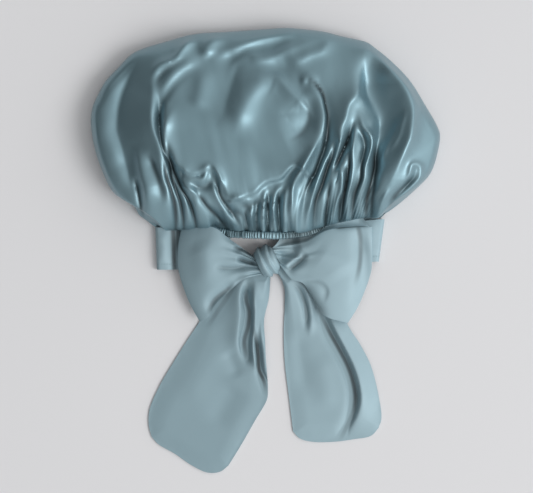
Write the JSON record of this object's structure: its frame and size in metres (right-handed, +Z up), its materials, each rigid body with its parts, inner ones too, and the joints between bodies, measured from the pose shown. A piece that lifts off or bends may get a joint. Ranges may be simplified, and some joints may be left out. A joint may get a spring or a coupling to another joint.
{
  "type": "hair bonnet",
  "caption": "Gathered satin hair bonnet laid flat, nape side up, with a ruched elastic nape, a wide front band and ties knotted behind.",
  "frame": {"origin": "on the table, below the middle of the laid-flat bonnet with its ties, close to the knot", "axes": "+Z up off the table, nape side up; +Y from the mouth towards the top of the crown; +X to the wearer's right seen from behind"},
  "size_m": [0.3671, 0.4729, 0.0656],
  "materials": {
    "crown_satin": "glossy satin weave",
    "lining_satin": "soft satin weave",
    "tie_satin": "brushed satin weave",
    "elastic": "woven elastic",
    "thread": "sewing thread"
  },
  "bodies": {
    "root": {"crown_outer": "crown_satin", "crown_lining": "lining_satin", "front_band_outer": "tie_satin", "front_band_facing": "tie_satin", "casing_left": "crown_satin", "casing_right": "crown_satin", "elastic_left": "elastic", "elastic_right": "elastic", "left_side_tack": "thread", "right_side_tack": "thread", "knot_wrap": "tie_satin", "knot_core": "tie_satin", "left_wing_front": "tie_satin", "left_wing_back": "tie_satin", "right_wing_front": "tie_satin", "right_wing_back": "tie_satin"},
    "nape": {"casing_middle": "crown_satin", "elastic_middle": "elastic"},
    "left_tail": {"left_tail_upper_front": "tie_satin", "left_tail_upper_back": "tie_satin"},
    "left_tail_end": {"left_tail_lower_front": "tie_satin", "left_tail_lower_back": "tie_satin"},
    "right_tail": {"right_tail_upper_front": "tie_satin", "right_tail_upper_back": "tie_satin"},
    "right_tail_end": {"right_tail_lower_front": "tie_satin", "right_tail_lower_back": "tie_satin"}
  },
  "joints": [
    {"name": "nape_stretch", "type": "slide", "parent": "root", "child": "nape", "axis": [0, -0.2588, 0.9659], "range_m": [0, 0.015], "stiffness_N_per_m": 20},
    {"name": "left_tail_swing", "type": "hinge", "parent": "root", "child": "left_tail", "pos_m": [-0.00197, -0.0166, 0.002], "axis": [0, 0, 1], "range_deg": [-10, 3]},
    {"name": "left_tail_fold", "type": "hinge", "parent": "left_tail", "child": "left_tail_end", "pos_m": [-0.042, -0.0948, 0.0014], "axis": [-1, 0, 0], "range_deg": [0, 90]},
    {"name": "right_tail_swing", "type": "hinge", "parent": "root", "child": "right_tail", "pos_m": [0.01585, -0.01957, 0.002], "axis": [0, 0, 1], "range_deg": [-3, 10]},
    {"name": "right_tail_fold", "type": "hinge", "parent": "right_tail", "child": "right_tail_end", "pos_m": [0.055, -0.08477, 0.0014], "axis": [-1, 0, 0], "range_deg": [0, 90]}
  ]
}
